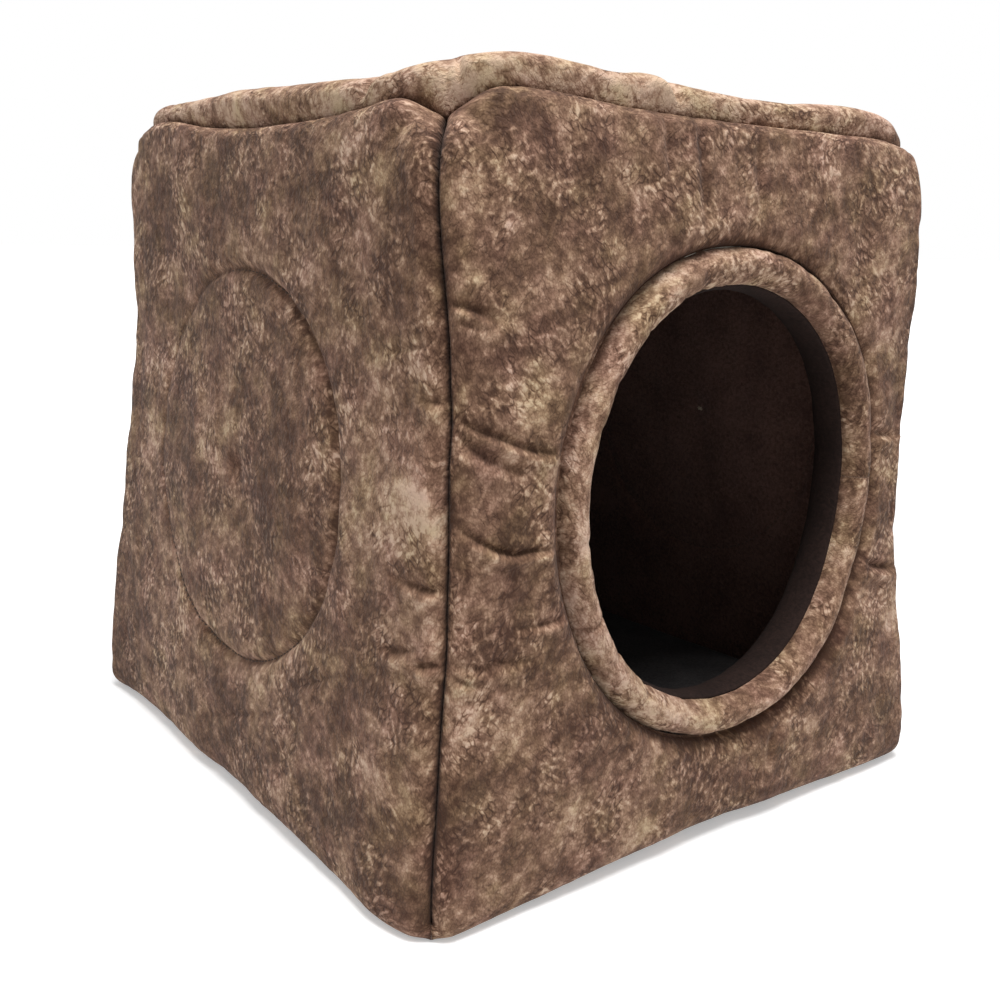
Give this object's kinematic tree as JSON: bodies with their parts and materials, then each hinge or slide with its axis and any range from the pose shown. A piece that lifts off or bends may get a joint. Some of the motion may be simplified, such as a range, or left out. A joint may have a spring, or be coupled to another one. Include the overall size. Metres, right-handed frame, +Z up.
{
  "type": "cat bed",
  "caption": "Soft padded cube bed for a cat, with an oval entrance in front, stitched circles on its walls and a loose cushion inside.",
  "frame": {"origin": "centre of the floor face, under the middle of the cube's bounding box", "axes": "+Z up, the entrance faces -Y, +X to the right of someone who looks in at the entrance"},
  "size_m": [0.4124, 0.4509, 0.4325],
  "materials": {
    "suede": "matte",
    "plush": "matte",
    "base_fabric": "matte",
    "charcoal_fleece": "matte",
    "padding": "matte",
    "brown_thread": "matte",
    "pale_thread": "matte"
  },
  "bodies": {
    "cube": {"front_quilted_panel": "suede", "front_foam_board": "padding", "front_lining": "plush", "back_quilted_panel": "suede", "back_foam_board": "padding", "back_lining": "plush", "back_quilting_thread": "brown_thread", "back_outer_tack": "brown_thread", "back_lining_tack": "pale_thread", "left_quilted_panel": "suede", "left_foam_board": "padding", "left_lining": "plush", "left_quilting_thread": "brown_thread", "left_outer_tack": "brown_thread", "left_lining_tack": "pale_thread", "right_quilted_panel": "suede", "right_foam_board": "padding", "right_lining": "plush", "right_quilting_thread": "brown_thread", "right_outer_tack": "brown_thread", "right_lining_tack": "pale_thread", "entrance_rim_cover": "suede", "entrance_rim_facing": "plush", "entrance_rim_filling": "padding", "roof_quilted_panel": "suede", "roof_foam_board": "padding", "roof_lining": "plush", "base_fabric": "base_fabric", "base_foam_board": "padding", "base_lining": "plush"},
    "cushion": {"cushion_top_cover": "charcoal_fleece", "cushion_bottom_cover": "charcoal_fleece", "cushion_filling": "padding"}
  },
  "joints": [
    {"name": "cushion_lift", "type": "slide", "parent": "cube", "child": "cushion", "axis": [0, 0, 1], "range_m": [0, 0.08]}
  ]
}
